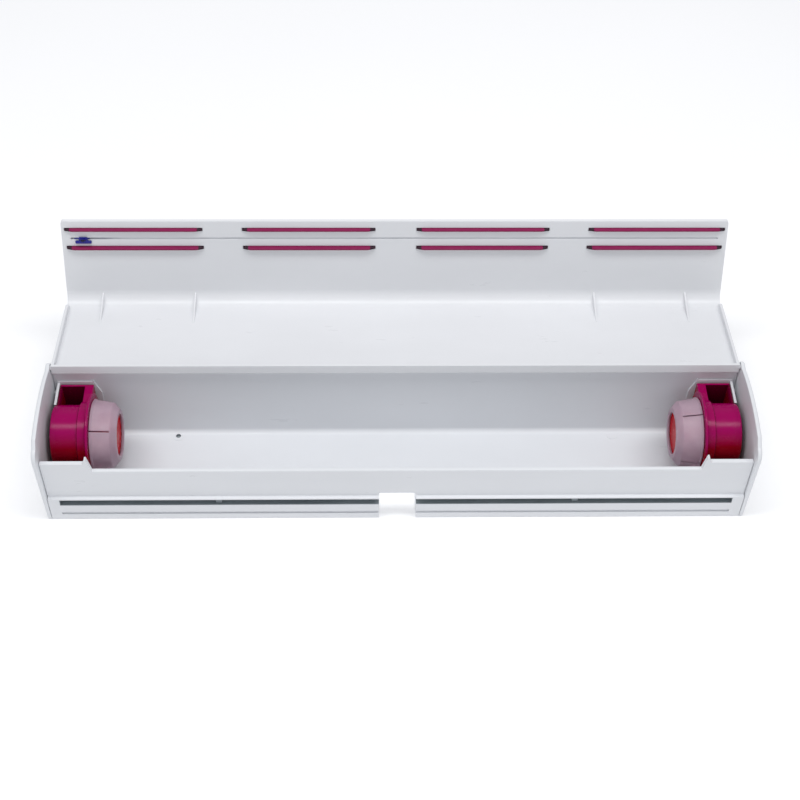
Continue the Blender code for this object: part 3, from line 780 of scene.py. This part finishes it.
def make_lid(white):
    """The lid, with its side lips, studs, gussets, cutter slot and the strips' seats."""
    lid = prism("lid", lid_outline(), -LID_HALF, LID_HALF)
    lip = [(LID_REAR_Y - 0.5, LID_TOP - SUNK), (LID_REAR_Y - 0.5, SIDE_LIP_Z),
           (SIDE_LIP_FRONT_Y, SIDE_LIP_Z), (SIDE_LIP_FRONT_Y - 3.4, LID_TOP - SUNK)]
    for _, side in SIDES:
        lip_x = sorted((side * (LID_HALF - SIDE_LIP_THICK), side * LID_HALF))
        add(lid, prism("side_lip", lip, *lip_x))
        stud_x = sorted((side * (LID_HALF - SUNK), side * STUD_END))
        add(lid, rod("stud", STUD_R, *stud_x, PIVOT))
        for centre in GUSSET_X:
            span = sorted((side * (centre - GUSSET_THICK / 2), side * (centre + GUSSET_THICK / 2)))
            add(lid, prism("gusset", gusset_outline(), *span))
        cut(lid, lean(edge_wedge(side)), lean(edge_corner(side)))
    through = (LID_FRONT_Y - PAST, LID_INNER_Y + PAST)
    slot_z = (CUT_Z - CUT_SLOT_HEIGHT / 2, CUT_Z + CUT_SLOT_HEIGHT / 2)
    cut(lid, lean(block("cut_slot", CUT_SLOT, through, slot_z)))
    for name in strip_names():
        low, high = closed_box(name, upright=True)
        seat_x = (low.x - CLEAR, high.x + CLEAR)
        seat_z = (low.z - CLEAR, high.z + CLEAR)
        seat_y = (LID_INNER_Y - STRIP_SEAT, LID_INNER_Y + PAST)
        cut(lid, lean(block("seat", seat_x, seat_y, seat_z)))
    soften(lid, 0.22, segments=2)
    return place(lid, white, "lid", "body_plastic", "lid_shell")


def strip_names():
    rows = ("lower", "upper")
    return ["grip_strip_%s_%d" % (row, number) for row in rows for number in range(1, 5)]


def make_strip(name, rubber, tip_shade_rubber):
    """A soft strip with a rounded proud edge that slopes down at both ends."""
    low, high = closed_box(name, upright=True)
    middle = (low.z + high.z) / 2.0
    half = (high.z - low.z) / 2.0
    root = low.y
    stations = [(low.x + inset, share) for inset, share in STRIP_SLOPE]
    stations += [(high.x - inset, share) for inset, share in reversed(STRIP_SLOPE)]
    dome = arc((0.0, 0.0), 1.0, -90.0, 90.0, 8)[1:-1]
    bm = bmesh.new()
    rings = []
    for x, share in stations:
        tip = root + (high.y - root) * share
        crown = min(half, (tip - root) * 0.6)
        spring = tip - crown
        outline = [(root, middle - half), (spring, middle - half)]
        outline += [(spring + y * crown, middle + z * half) for y, z in dome]
        outline += [(spring, middle + half), (root, middle + half)]
        rings.append([bm.verts.new((x, y, z)) for y, z in outline])
    for one, two in zip(rings, rings[1:]):
        join_rings(bm, one, two)
    bm.faces.new(list(reversed(rings[0])))
    bm.faces.new(rings[-1])
    strip = smooth(lean(object_from(bm, name + "_rubber")), 50.0)
    place(strip, rubber, "lid", "grip_rubber", name)
    # Painted shade: the sloping ends take near-black rubber, for the shade where they dip.
    tint(strip, tip_shade_rubber, lambda centre: not low.x + STRIP_TIP < centre.x < high.x - STRIP_TIP)
    return strip


def make_knob(navy):
    """The outer knob: a ridged thumb grip with a neck that passes through the lid's slot."""
    low, high = closed_box("slider_knob", upright=True)
    neck_height = CUT_SLOT_HEIGHT - 2.0 * CLEAR
    back = LID_FRONT_Y - CLEAR
    front = low.y
    corners = [(back, low.z, 0.5), (back, high.z, 0.5), (front + 2.0, high.z, 1.2),
               (front, high.z - 2.0, 0.8), (front + 1.2, CUT_Z, 6.0), (front, low.z + 2.0, 0.8),
               (front + 2.0, low.z, 1.2)]
    knob = prism("thumb_knob", rounded(corners), low.x, high.x)
    ridges = 6
    for i in range(ridges):
        x = low.x + 3.5 + (high.x - low.x - 7.0) * i / (ridges - 1)
        cut(knob, block("valley", (x - 0.5, x + 0.5), (front - 1.0, front + 1.9),
                        (low.z + 1.6, high.z - 1.6)))
    add(knob, block("neck", KNOB_NECK, (back - 1.0, high.y),
                    (CUT_Z - neck_height / 2.0, CUT_Z + neck_height / 2.0)))
    soften(knob, 0.2, segments=2)
    return place(lean(knob), navy, "cutter", "slider_plastic", "slider_knob")


def make_clip(navy):
    """The inner clip: a thin plate, narrow past the slot, with a raised rib along its wide foot."""
    low, high = closed_box("slider_clip", upright=True)
    inset, step_z = CLIP_STEP
    corners = [(low.x + inset, low.z, 0.5), (high.x - inset, low.z, 0.5), (high.x - inset, step_z, 0.6),
               (high.x, step_z, 0.4), (high.x, high.z, 0.6), (low.x, high.z, 0.6),
               (low.x, step_z, 0.4), (low.x + inset, step_z, 0.6)]
    clip = prism("inner_clip", rounded(corners, 4), low.y, high.y - 0.25, axis="y")
    rib = (low.x + 1.0, high.x - 1.0)
    add(clip, block("rib", rib, (low.y + 0.2, high.y), (high.z - 1.2, high.z - 0.4)))
    soften(clip, 0.1, segments=2)
    return place(lean(clip), navy, "cutter", "slider_plastic", "slider_clip")


def make_blade(steel):
    """A small flat blade that narrows towards its tip."""
    low, high = closed_box("cutter_blade", upright=True)
    taper = 1.2
    outline = [(low.x, low.y), (high.x, low.y), (high.x - taper, high.y), (low.x + taper, high.y)]
    blade = prism("blade", outline, low.z, high.z, axis="z")
    soften(blade, 0.08, segments=1)
    return place(lean(blade), steel, "cutter", "steel", "cutter_blade")


# ---------------------------------------------------------------- roll holders

def make_housing(label, side, magenta, painted_core_shade):
    """A block, solid at its collar and cored beyond, with a barrel for the wheel's journal."""
    inner, outer = HOUSING_LOW.x, HOUSING_OUTER
    outer_x = sorted((side * inner, side * outer))
    corners = [(HOUSING_LOW.y, HOUSING_LOW.z, 1.6), (HOUSING_HIGH.y, HOUSING_LOW.z, 1.6),
               (HOUSING_HIGH.y, HOUSING_TOP, 0.6), (HOUSING_LOW.y, HOUSING_TOP, 0.0)]
    housing = prism("housing_" + label, rounded(corners), *outer_x)
    core_x = sorted((side * COLLAR_END, side * (outer - HOUSING_OUTER_WALL)))
    core_y = (HOUSING_LOW.y + HOUSING_WALL, HOUSING_HIGH.y - HOUSING_WALL)
    above = HOUSING_TOP + PAST
    core_z = HOUSING_LOW.z + HOUSING_WALL
    core = [(core_y[0], core_z, 1.0), (core_y[1], core_z, 1.0), (core_y[1], above, 0.0),
            (core_y[0], above, 0.0)]
    cut(housing, prism("core", rounded(core), *core_x))
    whole_x = sorted((side * (inner - PAST), side * (outer + PAST)))
    step_y, step_z = HOUSING_STEP
    in_front = HOUSING_LOW.y - PAST
    step = [(in_front, step_z, 0.0), (step_y, step_z, 1.5), (step_y, above, 0.0),
            (in_front, above, 0.0)]
    cut(housing, prism("front_step", rounded(step), *whole_x))
    collar = (inner + COLLAR_INSET, COLLAR_END + COLLAR_INSET)
    solid = [(collar[0], 0.0, 0.0), (collar[0], COLLAR_R, 0.5), (collar[1], COLLAR_R, 0.3),
             (collar[1], BARREL_R, 0.0), (BARREL_END, BARREL_R, 0.6), (BARREL_END, 0.0, 0.0)]
    add(housing, turned("barrel", rounded(solid, 3), AXIS, side=side))
    low, high = inner - PAST, BARREL_END + PAST
    hole = [(low, 0.0), (low, BORE_R), (COUNTERBORE_X, BORE_R), (COUNTERBORE_X, COUNTERBORE_R),
            (high, COUNTERBORE_R), (high, 0.0)]
    cut(housing, turned("bore", hole, AXIS, side=side))
    soften(housing, 0.25, segments=2)
    housing = place(housing, magenta, label + "_holder", "holder_plastic", label + "_holder_housing")
    # Painted shade: the faces in the open core round the barrel take a dark maroon for the shade deep
    # in it.
    tint(housing, painted_core_shade, in_core)
    return housing


def make_wheel(label, side, magenta, red):
    """Hub, flange and journal in one, with a hole for the screw in the journal's end."""
    inner, outer = FLANGE_X
    corners = [(HUB_END, 0.0, 0.0), (HUB_END, HUB_R, 0.9), (inner, HUB_R, 0.6),
               (inner, FLANGE_R, 0.5), (outer, FLANGE_R, 0.5), (outer, JOURNAL_R, 0.4),
               (JOURNAL_END, JOURNAL_R, 0.4), (JOURNAL_END, SCREW_HOLE_R, 0.2),
               (SCREW_HOLE_END, SCREW_HOLE_R, 0.0), (SCREW_HOLE_END, 0.0, 0.0)]
    wheel = turned("wheel_" + label, rounded(corners), AXIS, side=side)
    smooth(wheel)
    place(wheel, magenta, label + "_wheel", "holder_plastic", label + "_holder_wheel")
    tint(wheel, red, lambda centre: abs(centre.x) < inner - 0.1)
    return wheel


def make_sleeve(label, side, frost):
    """The cone that grips a roll's core, split from its wide end."""
    nose, base = SLEEVE_LOW.x, SLEEVE_HIGH.x
    rim = base - SLEEVE_RIM_WIDTH
    shoulder_x, shoulder_r = SLEEVE_SHOULDER
    corners = [(nose, SLEEVE_HOLE_R, 0.3), (nose, SLEEVE_NOSE_R, 1.0),
               (shoulder_x, shoulder_r, 1.5), (rim, SLEEVE_BASE_R, 0.2),
               (rim, SLEEVE_RIM_R, 0.3), (base, SLEEVE_RIM_R, 0.3), (base, SLEEVE_BORE_R, 0.3),
               (nose + SLEEVE_END_WALL, SLEEVE_BORE_R, 0.2),
               (nose + SLEEVE_END_WALL, SLEEVE_HOLE_R, 0.3)]
    sleeve = turned("sleeve_" + label, rounded(corners), AXIS, side=side)
    slit_x = sorted((side * SLIT_END, side * (base + PAST)))
    for number in range(SLIT_COUNT):
        angle = 180.0 - SLIT_PHASE[label] + 360.0 * number / SLIT_COUNT
        cut(sleeve, radial_block("slit", slit_x, SLEEVE_BORE_R - PAST, SLEEVE_RIM_R + PAST,
                                 SLIT_WIDTH, angle))
    smooth(sleeve)
    return place(sleeve, frost, label + "_wheel", "sleeve_plastic", label + "_core_sleeve")


def radial_block(name, x, inner, outer, width, angle):
    """A thin block that reaches out from the holder's axis at an angle."""
    out = Vector((math.cos(math.radians(angle)), math.sin(math.radians(angle))))
    across = Vector((-out.y, out.x)) * width / 2.0
    centre = Vector(AXIS)
    corners = [centre + out * inner - across, centre + out * outer - across,
               centre + out * outer + across, centre + out * inner + across]
    return prism(name, [tuple(corner) for corner in corners], *x)


def make_washer(label, side, steel):
    """The washer that keeps the wheel's journal in its barrel."""
    low, high = node_box("right_retaining_washer")
    radius = (high.z - low.z) / 2.0
    corners = [(low.x, SCREW_HOLE_R, 0.1), (low.x, radius, 0.15), (high.x, radius, 0.15),
               (high.x, SCREW_HOLE_R, 0.1)]
    washer = turned("washer_" + label, rounded(corners, 3), AXIS, 64, side)
    smooth(washer)
    return place(washer, steel, label + "_wheel", "steel", label + "_retaining_washer")


def make_screw(label, side, steel):
    """A pan-head screw with a cross recess."""
    low, high = node_box("right_retaining_screw")
    head_r = (high.z - low.z) / 2.0
    head = high.x - 1.2
    corners = [(low.x, 0.0, 0.0), (low.x, 0.9, 0.0), (low.x + 1.0, 1.6, 0.0), (head, 1.6, 0.0),
               (head, head_r, 0.2), (high.x, head_r, 0.7), (high.x, 0.0, 0.0)]
    screw = turned("screw_" + label, rounded(corners, 4), AXIS, SMALL_STEPS, side)
    recess_x = sorted((side * (high.x - 0.8), side * (high.x + PAST)))
    for angle in (0.0, 90.0, 180.0, 270.0):
        cut(screw, radial_block("recess", recess_x, -0.3, 1.9, 0.7, angle))
    soften(screw, 0.05, segments=1)
    return place(screw, steel, label + "_wheel", "steel", label + "_retaining_screw")


# ---------------------------------------------------------------- stage

def make_floor():
    """A pale floor that glows a little, so that the background stays white."""
    bm = bmesh.new()
    bmesh.ops.create_grid(bm, x_segments=4, y_segments=4, size=FLOOR_SIZE / 2.0)
    bmesh.ops.translate(bm, verts=bm.verts, vec=(0.0, 0.0, -FLOOR_DROP))
    floor = object_from(bm, "floor")
    finish = Finish("pale_floor", 0.6, specular=0.2)
    mottle = finish.spread(finish.noise(3.0, 2.0), 0.0, 1.0)
    finish.color(finish.blend(mottle, (0.90, 0.90, 0.905), (0.92, 0.92, 0.925)))
    finish.shader.inputs["Emission Color"].default_value = (1.0, 1.0, 1.0, 1.0)
    finish.shader.inputs["Emission Strength"].default_value = 0.18
    floor.data.materials.append(finish.mat)


def make_lamp(name, at, size, power):
    """A rectangular lamp aimed at the origin. Its place and size are in metres, its power in watts."""
    data = bpy.data.lights.new(name, "AREA")
    data.shape = "RECTANGLE"
    data.size = size[0]
    data.size_y = size[1]
    data.energy = power
    lamp = bpy.data.objects.new(name, data)
    lamp.location = at
    aim = Vector((0.0, 0.0, 0.0)) - Vector(at)
    lamp.rotation_euler = aim.to_track_quat("-Z", "Y").to_euler()
    bpy.context.scene.collection.objects.link(lamp)


def make_light():
    """An even pale sky, a long lamp overhead and a faint one in front."""
    world = bpy.data.worlds.new("studio")
    world.use_nodes = True
    background = world.node_tree.nodes["Background"]
    background.inputs["Color"].default_value = (0.93, 0.95, 1.0, 1.0)
    background.inputs["Strength"].default_value = 0.47
    bpy.context.scene.world = world
    make_lamp("overhead", at=(0.0, -0.1, 1.2), size=(1.5, 0.25), power=9.6)
    make_lamp("front", at=(0.2, -1.5, 0.9), size=(1.2, 0.8), power=0.9)
    bpy.context.scene.view_settings.view_transform = "Standard"


def make_camera():
    """A view of the part from the front and above."""
    data = bpy.data.cameras.new("camera")
    data.lens = CAMERA_LENS
    data.sensor_width = CAMERA_SENSOR
    data.clip_start = CAMERA_NEAR
    camera = bpy.data.objects.new("camera", data)
    tilt = Matrix.Rotation(math.radians(90.0 - CAMERA_PITCH), 4, "X")
    roll = Matrix.Rotation(math.radians(CAMERA_ROLL), 4, "Z")
    yaw = Matrix.Rotation(math.radians(CAMERA_YAW), 4, "Z")
    camera.matrix_world = Matrix.Translation(Vector(CAMERA_AT)) @ yaw @ tilt @ roll
    bpy.context.scene.collection.objects.link(camera)
    bpy.context.scene.camera = camera


# ---------------------------------------------------------------- assembly

def main():
    white = white_plastic("white_plastic", (0.80, 0.815, 0.84))
    lid_white = white_plastic("lid_plastic", (0.80, 0.81, 0.83))
    # The holders' magenta, the cores' maroon and the hubs' red all get painted shade, deeper and redder
    # low down.
    magenta = magenta_plastic("holder_magenta", (0.33, 0.0, 0.095), (0.29, 0.0, 0.006), 35.5, 42.0)
    # Painted shade for the holders' open cores: a dark maroon.
    painted_core_shade = magenta_plastic("core_shade_painted", (0.12, 0.0, 0.02), (0.08, 0.0, 0.008), 18.0, 36.0)
    red = magenta_plastic("hub_red", (0.56, 0.0, 0.012), (0.50, 0.0, 0.010), 18.0, 40.0,
                          specular=0.03)
    rubber = grip_rubber("grip_rubber", (0.26, 0.006, 0.078), (0.20, 0.005, 0.060))
    # Painted shade for the strips' sloping ends: near-black rubber.
    tip_shade_rubber = grip_rubber("painted_tip_shade", (0.035, 0.010, 0.022), (0.025, 0.007, 0.016))
    frost = frosted_plastic()
    navy = navy_plastic()
    steel = brushed_steel("brushed_steel", (0.52, 0.53, 0.55), (0.66, 0.67, 0.69))
    dark_steel = brushed_steel("dark_steel", (0.05, 0.05, 0.07), (0.08, 0.08, 0.10))

    # The box's second material is painted shade for its channel and peg hole.
    make_box(white, painted_recess_shade())
    make_lid(lid_white)
    for name in strip_names():
        make_strip(name, rubber, tip_shade_rubber)
    make_knob(navy)
    make_clip(navy)
    make_blade(dark_steel)
    for label, side in SIDES:
        make_cap(label, side, white)
        make_housing(label, side, magenta, painted_core_shade)
        make_wheel(label, side, magenta, red)
        make_sleeve(label, side, frost)
        make_washer(label, side, steel)
        make_screw(label, side, steel)

    make_floor()
    make_light()
    make_camera()


main()
